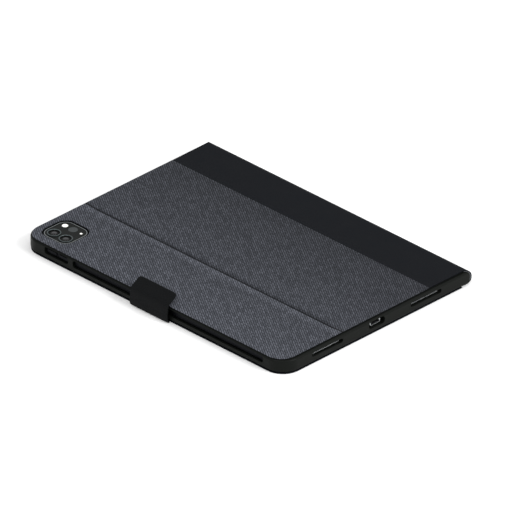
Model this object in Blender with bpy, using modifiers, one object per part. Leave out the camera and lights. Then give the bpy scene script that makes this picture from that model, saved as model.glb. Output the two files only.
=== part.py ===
"""Tablet keyboard case, closed, with the tablet in its shell.

Metres, +Z up. X runs along the long edge, the spine is at +Y, and the closing strap
is at -Y. The case lies on its front cover, so Z = 0 is the underside of that cover and
the woven back cover is on top. The origin is in the middle of the underside.
"""
import math

import bmesh
import bpy
from mathutils import Matrix, Vector

MM = 0.001

# Driving sizes, in millimetres.
TABLET_LENGTH = 247.6
TABLET_WIDTH = 178.5
TABLET_THICK = 5.9
TABLET_CORNER = 11.5
FIT = 0.15
SHORT_WALL = 3.55
STRAP_SIDE_WALL = 1.9
SPINE_SIDE_WALL = 1.6
CASE_THICK = 12.0
CORNER_RADIUS = 14.5
SPINE_CORNER_RADIUS = 2.4
LAYER_GAP = 0.1

# Plan: the tablet, the shell round it and the spine behind it.
TABLET_X = TABLET_LENGTH / 2
SHELL_X = TABLET_X + FIT + SHORT_WALL
SHELL_FRONT = -92.0
TABLET_FRONT = SHELL_FRONT + STRAP_SIDE_WALL + FIT
TABLET_BACK = TABLET_FRONT + TABLET_WIDTH
SHELL_BACK = TABLET_BACK + FIT + SPINE_SIDE_WALL
EAR_REACH = 1.2

# Heights of the layers, from the table up.
FRONT_SKIN_TOP = 0.4
FRONT_BOARD = (0.5, 0.9)
DECK_FLOOR = (1.0, 1.4)
DECK_RIM_TOP = 2.6
MEMBRANE = (1.5, 1.65)
KEY_WEB = (2.2, 2.45)
KEY_TOP = 3.5
KEY_FRAME = (2.7, 3.1)
SKIRT_BOTTOM = 1.2
TABLET_BOTTOM = 4.0
SCREEN_THICK = 0.6
TABLET_TOP = TABLET_BOTTOM + TABLET_THICK
SHELL_TOP = 10.8
BACK_BOARD = (10.9, 11.4)
BACK_SKIN = (11.5, CASE_THICK)

# The leather spine, seen from its end, is half an octagon. It folds at mid-thickness on
# its outer face, so the case opens flat with both covers on the table.
SPINE_THICK = 1.0
SPINE_OUTER = SHELL_BACK + 1.9
SPINE_STRIP = CASE_THICK / (1 + math.sqrt(2))
SPINE_BULGE = SPINE_STRIP / math.sqrt(2)
COVER_BACK = SPINE_OUTER - SPINE_BULGE
HINGE = (SPINE_OUTER, CASE_THICK / 2)
HINGE_GAP = 0.1

# The back cover: woven cloth up to the leather band that runs into the spine.
COVER_INSET = 2.25
COVER_FRONT_INSET = 0.7
COVER_CORNER = 12.5
BAND_FRONT = 52.6
FOLD_LINE_Y = SHELL_FRONT + 59.5
FOLD_LINE_WIDTH = 1.5

# Openings in the shell's sides, at the height of the tablet's edge.
PORT_Z = (TABLET_BOTTOM + TABLET_TOP) / 2
USB_SLOT = (15.5, 5.4)
SPEAKER_SLOT = (30.0, 3.2)
SPEAKER_Y = 48.0
VOLUME_SLOT_X = (-105.0, -82.0)
PENCIL_SLOT_X = (-77.5, 108.0)
SIDE_SLOT_Z = (4.5, 9.7)
POWER_SLOT_Y = (-77.0, -62.0)

# The camera, near the corner between the -X and -Y sides.
CAMERA_X = -SHELL_X + 21.2
CAMERA_Y = SHELL_FRONT + 21.75
CAMERA_SIZE = 25.4
CAMERA_CORNER = 7.2
CAMERA_WINDOW = 28.2
CAMERA_WINDOW_CORNER = 8.6

# The keyboard.
DECK_X = TABLET_X - 1.0
DECK_FRONT = TABLET_FRONT + 1.0
DECK_BACK = SPINE_OUTER - 4.4
DECK_WALL = 1.2
KEY_UNIT = 16.8
KEY_PITCH_Y = 16.2
KEY_GAP = 2.0
KEY_WINDOW_GAP = 0.35
KEY_LEFT = -7 * KEY_UNIT
KEY_FIRST_ROW_Y = DECK_FRONT + 11.2
FUNCTION_ROW_DEPTH = 9.0

# The strap: 36.5 mm of doubled leather over the long side.
STRAP_WIDTH = 36.5
STRAP_THICK = 1.5
STRAP_TIP_RADIUS = 2.6


# ---------------------------------------------------------------- scene and helpers

for old in list(bpy.data.objects):
    bpy.data.objects.remove(old, do_unlink=True)

case = bpy.data.collections.new("tablet_keyboard_case")
cutters = bpy.data.collections.new("cutters")
bpy.context.scene.collection.children.link(case)
bpy.context.scene.collection.children.link(cutters)


def linear(channel):
    if channel <= 0.04045:
        return channel / 12.92
    return ((channel + 0.055) / 1.055) ** 2.4


def finish(name, hex_colour, roughness, metallic=0.0):
    """A plain Principled material in an sRGB hex colour."""
    material = bpy.data.materials.new(name)
    material.use_nodes = True
    shader = material.node_tree.nodes["Principled BSDF"]
    rgb = [linear(int(hex_colour[i:i + 2], 16) / 255) for i in (0, 2, 4)]
    shader.inputs["Base Color"].default_value = (*rgb, 1)
    shader.inputs["Roughness"].default_value = roughness
    shader.inputs["Metallic"].default_value = metallic
    return material


WOVEN_CLOTH = finish("woven_cloth", "4b4d50", 0.85)
LEATHER = finish("leather", "1f2023", 0.6)
FLOCKED_BOARD = finish("flocked_board", "303235", 0.9)
SHELL_PLASTIC = finish("shell_plastic", "272a27", 0.45)
DECK_PLASTIC = finish("deck_plastic", "2a2b2e", 0.5)
KEY_PLASTIC = finish("key_plastic", "1c1d20", 0.45)
CIRCUIT = finish("circuit", "1c4a33", 0.5)
FILM = finish("film", "9a9fa3", 0.35)
POUCH = finish("pouch", "b9bcbf", 0.35, 0.6)
MAGNET = finish("magnet", "a5a7aa", 0.3, 1.0)
ALUMINIUM = finish("aluminium", "56585c", 0.35, 1.0)
BRIGHT_METAL = finish("bright_metal", "c9cbce", 0.2, 1.0)
DARK_GLASS = finish("dark_glass", "0a0b0d", 0.08)
LENS_GLASS = finish("lens_glass", "08090c", 0.03)
LIGHT_LENS = finish("light_lens", "f2f2ee", 0.3)
BLACK_MESH = finish("black_mesh", "101113", 0.6)
GOLD = finish("gold", "c9a24a", 0.3, 1.0)


def rounded(x0, y0, x1, y1, radii, steps=7):
    """A rectangle's outline, with radii for (x0, y0), (x1, y0), (x1, y1), (x0, y1)."""
    if isinstance(radii, (int, float)):
        radii = (radii,) * 4
    sides = ((1, 1), (-1, 1), (-1, -1), (1, -1))
    points = []
    for index, radius in enumerate(radii):
        corner_x = (x0, x1, x1, x0)[index]
        corner_y = (y0, y0, y1, y1)[index]
        centre_x = corner_x + sides[index][0] * radius
        centre_y = corner_y + sides[index][1] * radius
        count = steps if radius > 0 else 0
        for step in range(count + 1):
            turn = math.radians(180 + 90 * index + 90 * step / max(count, 1))
            points.append((centre_x + radius * math.cos(turn), centre_y + radius * math.sin(turn)))
    return points


def arc(centre, radius, start, end, steps):
    return [
        (
            centre[0] + radius * math.cos(math.radians(start + (end - start) * i / steps)),
            centre[1] + radius * math.sin(math.radians(start + (end - start) * i / steps)),
        )
        for i in range(steps + 1)
    ]


def centred(x, y, width, depth, radius, steps=5):
    return rounded(x - width / 2, y - depth / 2, x + width / 2, y + depth / 2, radius, steps)


def filled_curve(name, outlines, thickness):
    """A flat outline, with any holes inside it, thickened both ways from its plane."""
    curve = bpy.data.curves.new(name, "CURVE")
    curve.dimensions = "2D"
    curve.fill_mode = "BOTH"
    curve.extrude = thickness * MM / 2
    for outline in outlines:
        spline = curve.splines.new("POLY")
        spline.points.add(len(outline) - 1)
        spline.use_cyclic_u = True
        for point, (x, y) in zip(spline.points, outline):
            point.co = (x * MM, y * MM, 0, 1)
    return curve


def as_mesh(name, curve, matrix, material, collection):
    """Turn a curve into one welded mesh object with its place in matrix."""
    guide = bpy.data.objects.new(name + "_outline", curve)
    bpy.context.scene.collection.objects.link(guide)
    bpy.context.view_layer.update()
    evaluated = guide.evaluated_get(bpy.context.evaluated_depsgraph_get())
    mesh = bpy.data.meshes.new_from_object(evaluated)
    bpy.data.objects.remove(guide, do_unlink=True)
    bpy.data.curves.remove(curve)
    welded = bmesh.new()
    welded.from_mesh(mesh)
    bmesh.ops.remove_doubles(welded, verts=welded.verts, dist=1e-6)
    bmesh.ops.recalc_face_normals(welded, faces=welded.faces)
    welded.to_mesh(mesh)
    welded.free()
    mesh.name = name
    mesh.materials.clear()
    obj = bpy.data.objects.new(name, mesh)
    obj.matrix_world = matrix
    collection.objects.link(obj)
    if material:
        mesh.materials.append(material)
    else:
        obj.hide_render = True
        obj.display_type = "WIRE"
    return obj


def plate(name, outlines, z0, z1, material=None, origin=(0.0, 0.0)):
    """A flat piece between two heights; without a material it is a cutter."""
    ox, oy = origin
    moved = [[(x - ox, y - oy) for x, y in outline] for outline in outlines]
    place = Matrix.Translation(Vector((ox, oy, (z0 + z1) / 2)) * MM)
    curve = filled_curve(name, moved, z1 - z0)
    return as_mesh(name, curve, place, material, case if material else cutters)


def plates(name, outlines, z0, z1):
    """One cutter, or one tool to join on, made of separate flat pieces."""
    merged = bmesh.new()
    for outline in outlines:
        piece = plate(name + "_piece", [outline], z0, z1)
        merged.from_mesh(piece.data)
        bpy.data.objects.remove(piece, do_unlink=True)
    mesh = bpy.data.meshes.new(name)
    merged.to_mesh(mesh)
    merged.free()
    tool = bpy.data.objects.new(name, mesh)
    tool.location.z = (z0 + z1) / 2 * MM
    tool.hide_render = True
    tool.display_type = "WIRE"
    cutters.objects.link(tool)
    return tool


def section(name, outline, x0, x1, material=None, pivot=(0.0, 0.0)):
    """A (y, z) section run along X, with its origin on the axis through pivot."""
    py, pz = pivot
    moved = [(y - py, z - pz) for y, z in outline]
    turn = Matrix(((0, 0, 1, 0), (1, 0, 0, 0), (0, 1, 0, 0), (0, 0, 0, 1)))
    place = Matrix.Translation(Vector(((x0 + x1) / 2, py, pz)) * MM) @ turn
    curve = filled_curve(name, [moved], x1 - x0)
    return as_mesh(name, curve, place, material, case if material else cutters)


def side_plate(name, outline, x0, x1, material=None):
    """A (y, z) outline on an X side, as a cutter or a thin piece there."""
    return section(name, outline, x0, x1, material)


def front_plate(name, outline, y0, y1, material=None):
    """An (x, z) outline on a Y side, as a cutter or a thin piece there."""
    turn = Matrix(((1, 0, 0, 0), (0, 0, -1, 0), (0, 1, 0, 0), (0, 0, 0, 1)))
    place = Matrix.Translation(Vector((0, (y0 + y1) / 2, 0)) * MM) @ turn
    curve = filled_curve(name, [outline], y1 - y0)
    return as_mesh(name, curve, place, material, case if material else cutters)


def cut(obj, *tools):
    for tool in tools:
        modifier = obj.modifiers.new("cut_" + tool.name, "BOOLEAN")
        modifier.operation = "DIFFERENCE"
        modifier.solver = "EXACT"
        modifier.object = tool


def join(obj, tool):
    modifier = obj.modifiers.new("join_" + tool.name, "BOOLEAN")
    modifier.operation = "UNION"
    modifier.solver = "EXACT"
    modifier.object = tool


def bevel(obj, width, segments=2, angle=50):
    modifier = obj.modifiers.new("bevel", "BEVEL")
    modifier.width = width * MM
    modifier.segments = segments
    modifier.limit_method = "ANGLE"
    modifier.angle_limit = math.radians(angle)
    modifier.use_clamp_overlap = True


def smooth(obj, angle=35):
    obj.data.shade_smooth()
    obj.data.set_sharp_from_angle(angle=math.radians(angle))


def disc(name, x, y, z0, z1, radius, material=None, sides=32):
    """A round piece that stands on its end."""
    bpy.ops.mesh.primitive_cylinder_add(
        vertices=sides, radius=radius * MM, depth=(z1 - z0) * MM,
        location=(x * MM, y * MM, (z0 + z1) / 2 * MM),
    )
    obj = bpy.context.object
    obj.name = name
    obj.data.name = name
    for holder in list(obj.users_collection):
        holder.objects.unlink(obj)
    (case if material else cutters).objects.link(obj)
    if material:
        obj.data.materials.append(material)
        smooth(obj)
    else:
        obj.hide_render = True
        obj.display_type = "WIRE"
    return obj


# ---------------------------------------------------------------- front cover

def front_cover():
    """Leather on a thin board: the case lies on it, and the keyboard is glued to it."""
    radii = (CORNER_RADIUS, CORNER_RADIUS, SPINE_CORNER_RADIUS, SPINE_CORNER_RADIUS)
    skin = rounded(-SHELL_X + 0.3, SHELL_FRONT + 0.2, SHELL_X - 0.3, COVER_BACK - 0.3, radii)
    plate("front_skin", [skin], 0, FRONT_SKIN_TOP, LEATHER)
    inset = 1.5
    board = rounded(-SHELL_X + inset, SHELL_FRONT + inset, SHELL_X - inset, COVER_BACK - inset, radii)
    plate("front_board", [board], *FRONT_BOARD, FLOCKED_BOARD)


# ---------------------------------------------------------------- keyboard

def key_rows():
    """Rows as (name, centre y, depth, [(group, width in units), ...]) from -Y to +Y."""
    letters = [1.0] * 10
    bottom = [("key_row_left", w) for w in (1, 1, 1, 1.25)]
    bottom += [("space_bar", 4.5)]
    bottom += [("key_row_right", w) for w in (1.25, 1)]
    bottom += [("arrow_keys", w) for w in (1, 1, 1)]
    lower = [("shift_left", 2)] + [("key_row_lower", w) for w in letters] + [("shift_right", 2)]
    home = [("caps_key", 1.5)] + [("key_row_home", 1)] * 11 + [("return_key", 1.5)]
    upper = [("tab_key", 1.25)] + [("key_row_upper", 1)] * 12 + [("slash_key", 0.75)]
    number = [("key_row_number", 1)] * 13 + [("delete_key", 1)]
    function = [("key_row_function", 1)] * 14
    depth = KEY_PITCH_Y - KEY_GAP
    rows = []
    for index, groups in enumerate((bottom, lower, home, upper, number)):
        rows.append((KEY_FIRST_ROW_Y + index * KEY_PITCH_Y, depth, groups))
    last = KEY_FIRST_ROW_Y + 4 * KEY_PITCH_Y + depth / 2 + KEY_GAP + FUNCTION_ROW_DEPTH / 2
    rows.append((last, FUNCTION_ROW_DEPTH, function))
    return rows


def key_caps():
    """Every keycap as (group, x0, y0, x1, y1)."""
    caps = []
    for centre_y, depth, groups in key_rows():
        left = KEY_LEFT
        for group, width in groups:
            x0 = left + KEY_GAP / 2
            x1 = left + width * KEY_UNIT - KEY_GAP / 2
            caps.append((group, x0, centre_y - depth / 2, x1, centre_y + depth / 2))
            left += width * KEY_UNIT
    return caps


KEY_CAPS = key_caps()
SLOT_Y = KEY_CAPS[-1][4] + 5.0
SLOT_WIDTH = 4.0


def keyboard_deck():
    """The tray and the top frame of the keyboard, with the tablet's resting groove."""
    radii = (CORNER_RADIUS - 3.4, CORNER_RADIUS - 3.4, 1.5, 1.5)
    outline = rounded(-DECK_X, DECK_FRONT, DECK_X, DECK_BACK, radii)
    inner = rounded(
        -DECK_X + DECK_WALL, DECK_FRONT + DECK_WALL, DECK_X - DECK_WALL, DECK_BACK - DECK_WALL,
        (CORNER_RADIUS - 4.6, CORNER_RADIUS - 4.6, 0.8, 0.8),
    )
    base = plate("keyboard_base", [outline], DECK_FLOOR[0], DECK_RIM_TOP, DECK_PLASTIC)
    cut(base, plate("base_hollow", [inner], DECK_FLOOR[1], DECK_RIM_TOP + 1))

    windows = []
    for _, x0, y0, x1, y1 in KEY_CAPS:
        g = KEY_WINDOW_GAP
        windows.append(rounded(x0 - g, y0 - g, x1 + g, y1 + g, 1.2, 2))
    windows.append(centred(96, SLOT_Y + 9, 9.0, 3.0, 1.5, 4))
    windows.append(centred(82, SLOT_Y + 9, 2.0, 2.0, 1.0, 4))
    frame = plate("keyboard_frame", [outline], *KEY_FRAME, DECK_PLASTIC)
    cut(frame, plates("key_windows", windows, KEY_FRAME[0] - 1, KEY_FRAME[1] + 1))
    groove = centred(0, SLOT_Y, 2 * TABLET_X - 24, SLOT_WIDTH, 1.5)
    cut(frame, plate("groove", [groove], KEY_FRAME[1] - 0.2, KEY_FRAME[1] + 1))


def keys():
    """Keycaps that press down; a group of keycaps shares a thin web under the frame."""
    groups = {}
    for group, x0, y0, x1, y1 in KEY_CAPS:
        groups.setdefault(group, []).append((x0, y0, x1, y1))
    for group, boxes in groups.items():
        x0 = min(box[0] for box in boxes)
        x1 = max(box[2] for box in boxes)
        y0 = boxes[0][1]
        y1 = boxes[0][3]
        centre = ((x0 + x1) / 2, (y0 + y1) / 2)
        web = rounded(x0 - 0.5, y0 - 0.5, x1 + 0.5, y1 + 0.5, 1.0, 2)
        key = plate(group, [web], *KEY_WEB, KEY_PLASTIC, centre)
        caps = [rounded(*box, 1.2, 2) for box in boxes]
        join(key, plates(group + "_caps", caps, KEY_WEB[1] - 0.1, KEY_TOP))


def keyboard_inside():
    """Membrane under the keys, and the electronics under the deck's rear half."""
    caps_x = 7 * KEY_UNIT + 1
    front = KEY_CAPS[0][2] - 1
    back = KEY_CAPS[-1][4] + 1
    plate("key_membrane", [rounded(-caps_x, front, caps_x, back, 2)], *MEMBRANE, FILM)
    rear = SLOT_Y + 6
    plate("battery", [rounded(-70, rear, 20, rear + 46, 2)], 1.5, 2.55, POUCH)
    plate("circuit_board", [rounded(28, rear, 112, rear + 22, 1)], 1.5, 2.0, CIRCUIT)
    plate("radio_module", [rounded(34, rear + 10, 50, rear + 20, 0.5)], 2.1, 2.6, BRIGHT_METAL)
    for index, x in enumerate((-80, 0, 80)):
        plate(
            f"groove_magnet_{index + 1}", [centred(x, SLOT_Y, 20, 3.6, 0.5, 2)], 1.5, 2.55, MAGNET
        )
    plate("wake_magnet", [centred(-112, rear + 22, 4, 16, 0.5, 2)], 1.75, 2.55, MAGNET)
    plate("power_switch", [centred(94.8, SLOT_Y + 9, 4.0, 2.2, 1.0, 4)], 2.3, 3.3, KEY_PLASTIC)
    plate("status_light", [centred(82, SLOT_Y + 9, 1.4, 1.4, 0.7, 4)], 2.3, 3.1, LIGHT_LENS)


# ---------------------------------------------------------------- spine

def spine():
    """The leather spine in two halves that meet at the hinge, one on each cover."""
    start = Vector((COVER_BACK, 0.0))
    along = Vector((1, 1)).normalized()
    inward = Vector((-1, 1)).normalized()
    mitre = SPINE_THICK * math.tan(math.radians(22.5))
    inner_y = SPINE_OUTER - SPINE_THICK
    meeting_z = HINGE[1] - HINGE_GAP / 2
    outline = [
        tuple(start + along * LAYER_GAP),
        (SPINE_OUTER, SPINE_BULGE),
        (SPINE_OUTER, meeting_z),
        (inner_y, meeting_z),
        (inner_y, SPINE_BULGE + mitre),
        tuple(start + along * (mitre + LAYER_GAP) + inward * SPINE_THICK),
    ]
    end_x = SHELL_X - COVER_INSET
    section("spine_lower", outline, -end_x, end_x, LEATHER, HINGE)
    mirrored = [(y, CASE_THICK - z) for y, z in outline]
    section("spine_upper", mirrored, -end_x, end_x, LEATHER, HINGE)


# ---------------------------------------------------------------- back cover

def back_cover():
    """Cloth and a leather band over two stiff boards that part at the fold line."""
    x = SHELL_X - COVER_INSET
    front = SHELL_FRONT + COVER_FRONT_INSET
    window = centred(CAMERA_X, CAMERA_Y, CAMERA_WINDOW, CAMERA_WINDOW, CAMERA_WINDOW_CORNER, 7)
    corner = COVER_CORNER
    cloth = rounded(-x, front, x, BAND_FRONT - 0.1, (corner, corner, 0, 0))
    skin = plate("back_cloth", [cloth, window], *BACK_SKIN, WOVEN_CLOTH)
    line = centred(0, FOLD_LINE_Y, 2 * x - 15, FOLD_LINE_WIDTH, FOLD_LINE_WIDTH / 2 - 0.05, 3)
    cut(skin, plate("fold_line", [line], CASE_THICK - 0.3, CASE_THICK + 1))

    band = rounded(-x, BAND_FRONT + 0.1, x, COVER_BACK - 0.35, (0, 0, 1, 1), 3)
    plate("leather_band", [band], *BACK_SKIN, LEATHER)

    inset = 0.8
    half_line = FOLD_LINE_WIDTH / 2
    camera_side = rounded(
        -x + inset, front + inset, x - inset, FOLD_LINE_Y - half_line,
        (corner - inset, corner - inset, 0.5, 0.5),
    )
    plate("camera_board", [camera_side, window], *BACK_BOARD, FLOCKED_BOARD)
    stand_side = rounded(-x + inset, FOLD_LINE_Y + half_line, x - inset, COVER_BACK - 1.6, 0.5, 2)
    plate("stand_board", [stand_side], *BACK_BOARD, FLOCKED_BOARD)


# ---------------------------------------------------------------- tablet shell

def slot_outline(centre, size, radius):
    return centred(centre[0], centre[1], size[0], size[1], radius, 4)


def tablet_shell():
    """A moulded tray round the tablet; its skirt on three sides closes over the keyboard."""
    radii = (CORNER_RADIUS, CORNER_RADIUS, SPINE_CORNER_RADIUS, SPINE_CORNER_RADIUS)
    outline = rounded(-SHELL_X, SHELL_FRONT, SHELL_X, SHELL_BACK + EAR_REACH, radii, 9)
    shell = plate("tablet_shell", [outline], SKIRT_BOTTOM, SHELL_TOP, SHELL_PLASTIC)
    bevel(shell, 1.6, 4, 60)

    bay = rounded(
        -TABLET_X - FIT, TABLET_FRONT - FIT, TABLET_X + FIT, TABLET_BACK + FIT, TABLET_CORNER + FIT, 6
    )
    lip = 0.5
    mouth = rounded(
        -TABLET_X + lip, TABLET_FRONT + lip, TABLET_X - lip, TABLET_BACK - lip, TABLET_CORNER - lip, 6
    )
    cut(shell, plate("shell_bay", [bay], TABLET_BOTTOM - 0.15, TABLET_TOP + 0.1))
    cut(shell, plate("shell_mouth", [mouth], SKIRT_BOTTOM - 1, TABLET_BOTTOM + 1))

    far = SHELL_BACK + 9
    inner_x = SHELL_X - COVER_INSET + 0.15
    deck_gap = rounded(-TABLET_X, DECK_BACK - 12, TABLET_X, far, 0)
    cut(shell, plate("spine_side_gap", [deck_gap], SKIRT_BOTTOM - 1, TABLET_BOTTOM - 0.3))
    behind = [(SHELL_BACK, -1), (far, -1), (far, SHELL_TOP + 1), (SHELL_BACK, SHELL_TOP + 1)]
    cut(shell, side_plate("behind_shell", behind, -inner_x, inner_x))
    notch = [
        (DECK_BACK - 1.5, -1), (far, -1), (far, TABLET_BOTTOM - 0.3),
        (DECK_BACK + 2.5, TABLET_BOTTOM - 0.3),
    ]
    cut(shell, side_plate("spine_notch", notch, -inner_x, inner_x))
    chamfer = [
        (COVER_BACK - 0.8, SHELL_TOP + 0.1), (far, SHELL_TOP + 3),
        (far, SHELL_TOP - 5), (SHELL_BACK + 0.1, SHELL_TOP - 2.5),
    ]
    cut(shell, side_plate("spine_chamfer", chamfer, -inner_x, inner_x))
    ear_radius = (SHELL_TOP - SKIRT_BOTTOM) / 2
    ear_centre = (SHELL_BACK + EAR_REACH - ear_radius, SKIRT_BOTTOM + ear_radius)
    for name, sign in (("ear_top", 1), ("ear_bottom", -1)):
        corner = arc(ear_centre, ear_radius, 90 * sign, 0, 8)
        edge = ear_centre[1] + sign * (ear_radius + 2)
        corner += [(far, ear_centre[1]), (far, edge), (ear_centre[0], edge)]
        cut(shell, side_plate(name, corner, -SHELL_X - 5, SHELL_X + 5))

    window = centred(CAMERA_X, CAMERA_Y, CAMERA_WINDOW, CAMERA_WINDOW, CAMERA_WINDOW_CORNER, 7)
    cut(shell, plate("camera_window", [window], TABLET_TOP - 1, SHELL_TOP + 1))

    tablet_middle = (TABLET_FRONT + TABLET_BACK) / 2
    usb = slot_outline((tablet_middle, PORT_Z), USB_SLOT, 2.4)
    cut(shell, side_plate("usb_slot", usb, TABLET_X - 2, SHELL_X + 2))
    for side in (-1, 1):
        for end in (-1, 1):
            mouth = slot_outline((tablet_middle + end * SPEAKER_Y, PORT_Z), SPEAKER_SLOT, 1.5)
            x0, x1 = sorted((side * (TABLET_X - 2), side * (SHELL_X + 2)))
            cut(shell, side_plate(f"speaker_slot_{side}_{end}", mouth, x0, x1))
    power = rounded(POWER_SLOT_Y[0], SIDE_SLOT_Z[0] + 0.5, POWER_SLOT_Y[1], SIDE_SLOT_Z[1] - 0.5, 1.8, 4)
    cut(shell, side_plate("power_slot", power, -SHELL_X - 2, -TABLET_X + 2))
    for name, (x0, x1) in (("volume_slot", VOLUME_SLOT_X), ("pencil_slot", PENCIL_SLOT_X)):
        opening = rounded(x0, SIDE_SLOT_Z[0], x1, SIDE_SLOT_Z[1], 1.6, 4)
        cut(shell, front_plate(name, opening, SHELL_FRONT - 2, TABLET_FRONT + 1))


# ---------------------------------------------------------------- tablet

def tablet():
    """The tablet that the case is moulded for: glass front, aluminium body, buttons, ports."""
    outline = rounded(-TABLET_X, TABLET_FRONT, TABLET_X, TABLET_BACK, TABLET_CORNER, 6)
    glass = rounded(
        -TABLET_X + 0.5, TABLET_FRONT + 0.5, TABLET_X - 0.5, TABLET_BACK - 0.5, TABLET_CORNER - 0.5, 6
    )
    plate("tablet_screen", [glass], TABLET_BOTTOM, TABLET_BOTTOM + SCREEN_THICK, DARK_GLASS)
    seat = TABLET_BOTTOM + SCREEN_THICK + LAYER_GAP
    body = plate("tablet_body", [outline], seat, TABLET_TOP, ALUMINIUM)
    bevel(body, 0.9, 2, 60)

    tablet_middle = (TABLET_FRONT + TABLET_BACK) / 2
    depth = 2.0
    usb = slot_outline((tablet_middle, PORT_Z), (9.0, 3.2), 1.55)
    cut(body, side_plate("usb_pocket", usb, TABLET_X - 6, TABLET_X + 1))
    ring = slot_outline((tablet_middle, PORT_Z), (8.6, 2.8), 1.35)
    port = side_plate("usb_port", ring, TABLET_X - 5.8, TABLET_X - 0.3, BLACK_MESH)
    hollow = slot_outline((tablet_middle, PORT_Z), (7.9, 2.1), 1.0)
    cut(port, side_plate("usb_hollow", hollow, TABLET_X - 5.2, TABLET_X + 1))

    for side, label in ((-1, "far"), (1, "near")):
        for end, hand in ((-1, "front"), (1, "back")):
            y = tablet_middle + end * SPEAKER_Y
            x_in = side * (TABLET_X - depth)
            x_out = side * (TABLET_X + 1)
            pocket = slot_outline((y, PORT_Z), (26.0, 1.9), 0.9)
            x0, x1 = sorted((x_in, x_out))
            cut(body, side_plate(f"speaker_pocket_{label}_{hand}", pocket, x0, x1))
            grille = slot_outline((y, PORT_Z), (25.6, 1.5), 0.7)
            x0, x1 = sorted((side * (TABLET_X - depth + 0.1), side * (TABLET_X - 0.2)))
            side_plate(f"speaker_{label}_{hand}", grille, x0, x1, BLACK_MESH)

    for name, x in (("volume_up", -99.0), ("volume_down", -88.0)):
        pocket = slot_outline((x, PORT_Z), (9.6, 2.4), 1.1)
        cut(body, front_plate(name + "_pocket", pocket, TABLET_FRONT - 1, TABLET_FRONT + depth))
        button = slot_outline((x, PORT_Z), (9.0, 1.8), 0.85)
        y0 = TABLET_FRONT - 0.6
        front_plate(name, button, y0, TABLET_FRONT + depth - 0.8, ALUMINIUM)
    middle = sum(POWER_SLOT_Y) / 2
    pocket = slot_outline((middle, PORT_Z), (10.6, 2.4), 1.1)
    cut(body, side_plate("power_pocket", pocket, -TABLET_X - 1, -TABLET_X + depth))
    button = slot_outline((middle, PORT_Z), (10.0, 1.8), 0.85)
    side_plate("power_button", button, -TABLET_X - 0.6, -TABLET_X + depth - 0.8, ALUMINIUM)


def camera():
    """The camera island: a bright rim round a glass plate with two lenses and a flash."""
    base = TABLET_TOP + 0.1
    outer = centred(CAMERA_X, CAMERA_Y, CAMERA_SIZE, CAMERA_SIZE, CAMERA_CORNER, 7)
    inner = centred(CAMERA_X, CAMERA_Y, CAMERA_SIZE - 1.6, CAMERA_SIZE - 1.6, CAMERA_CORNER - 0.8, 7)
    plate("camera_rim", [outer, inner], base, base + 1.3, BRIGHT_METAL)
    glass = centred(CAMERA_X, CAMERA_Y, CAMERA_SIZE - 2.0, CAMERA_SIZE - 2.0, CAMERA_CORNER - 1.0, 7)
    pockets = {
        "lens_wide": (-5.6, -5.7, 5.1), "lens_ultra_wide": (5.9, -5.7, 5.1),
        "flash": (-7.6, 6.9, 2.2), "depth_sensor": (0.3, 6.9, 3.4), "microphone": (8.2, 6.9, 1.0),
    }
    holes = []
    for name, (x, y, radius) in pockets.items():
        centre = (CAMERA_X + x, CAMERA_Y + y)
        holes.append([
            (centre[0] + (radius + 0.15) * math.cos(math.tau * i / 32),
             centre[1] + (radius + 0.15) * math.sin(math.tau * i / 32))
            for i in range(32)
        ])
        material = LIGHT_LENS if name in ("flash", "microphone") else DARK_GLASS
        top = base + 1.1
        if name.startswith("lens"):
            top = base + 1.7
            material = BRIGHT_METAL
        piece = disc(name, *centre, base, top, radius, material)
        if name.startswith("lens"):
            well = disc(name + "_well", *centre, base + 0.6, top + 1, radius - 0.7)
            cut(piece, well)
            disc(name + "_glass", *centre, base + 0.75, top - 0.2, radius - 0.85, LENS_GLASS)
    plate("camera_glass", [glass] + holes, base, base + 1.0, DARK_GLASS)


# ---------------------------------------------------------------- strap

def strip(path, thickness):
    """A section of constant thickness whose outer face is the given path."""
    inner = []
    for index, point in enumerate(path):
        before = Vector(path[max(index - 1, 0)])
        after = Vector(path[min(index + 1, len(path) - 1)])
        along = (after - before).normalized()
        inner.append(tuple(Vector(point) + Vector((along.y, -along.x)) * thickness))
    return list(path) + inner[::-1]


STRAP_ROOT = (SHELL_FRONT - 0.3, 0.75)


def strap():
    """The closing strap: one part stands over the side, and its tip lifts off the cover."""
    half = STRAP_WIDTH / 2
    lower = arc((SHELL_FRONT - 0.9, 2.6), 2.6, 262, 180, 5)
    lower += [(SHELL_FRONT - 3.45, 5.0), (SHELL_FRONT - 3.3, 9.0), (SHELL_FRONT - 2.9, 12.0)]
    section("strap_side", strip(lower, STRAP_THICK), -half, half, LEATHER, STRAP_ROOT)

    slope = math.radians(38)
    start = Vector((SHELL_FRONT - 2.6, 13.8))
    tip = start + Vector((math.cos(slope), math.sin(slope))) * 11.4
    flap_length = (tip - start).length
    outline = rounded(-half, 0, half, flap_length, (0.4, 0.4, STRAP_TIP_RADIUS, STRAP_TIP_RADIUS), 5)
    curve = filled_curve("strap_flap", [outline], STRAP_THICK)
    along = Vector((0, math.cos(slope), math.sin(slope)))
    up = Vector((0, -math.sin(slope), math.cos(slope)))
    place = Matrix((
        (1, 0, 0, 0), (0, along.y, up.y, 0), (0, along.z, up.z, 0), (0, 0, 0, 1),
    ))
    centre = Vector((0, start.x, start.y)) - up * STRAP_THICK / 2
    place = Matrix.Translation(centre * MM) @ place
    as_mesh("strap_flap", curve, place, LEATHER, case)


front_cover()
keyboard_deck()
keys()
keyboard_inside()
spine()
back_cover()
tablet_shell()
tablet()
camera()
strap()
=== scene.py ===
import math

import bmesh
import bpy
from mathutils import Matrix, Vector


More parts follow.
